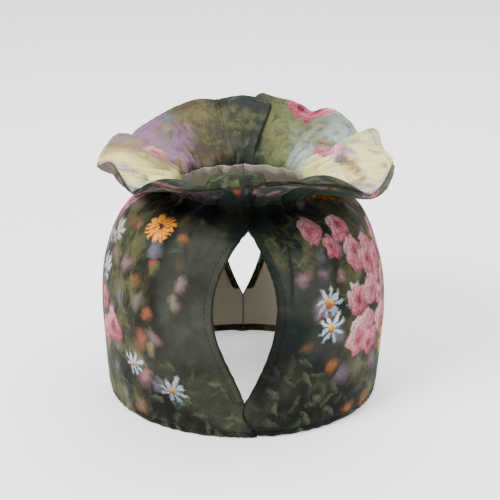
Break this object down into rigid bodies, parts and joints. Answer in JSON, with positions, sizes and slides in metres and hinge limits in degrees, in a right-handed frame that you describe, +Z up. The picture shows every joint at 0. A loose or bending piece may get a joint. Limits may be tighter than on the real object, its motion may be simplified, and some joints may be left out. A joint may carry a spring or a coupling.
{
  "type": "tea cosy",
  "caption": "Padded cloth cover for a teapot, open at the hem, with a spout slit, a handle slit and a flared frill above a gathered neck.",
  "frame": {"origin": "centre of the bounding box's floor, on the surface that the hem stands on", "axes": "+Z up, -Y towards the spout slit at the front, +X to the right as seen from the front"},
  "size_m": [0.1673, 0.1844, 0.1513],
  "materials": {
    "panel_cloth": "matte printed padded cloth",
    "frill_cloth": "matte printed cloth"
  },
  "bodies": {
    "root": {"panel_left": "panel_cloth", "panel_right": "panel_cloth", "frill_left": "frill_cloth", "frill_right": "frill_cloth"}
  },
  "joints": []
}
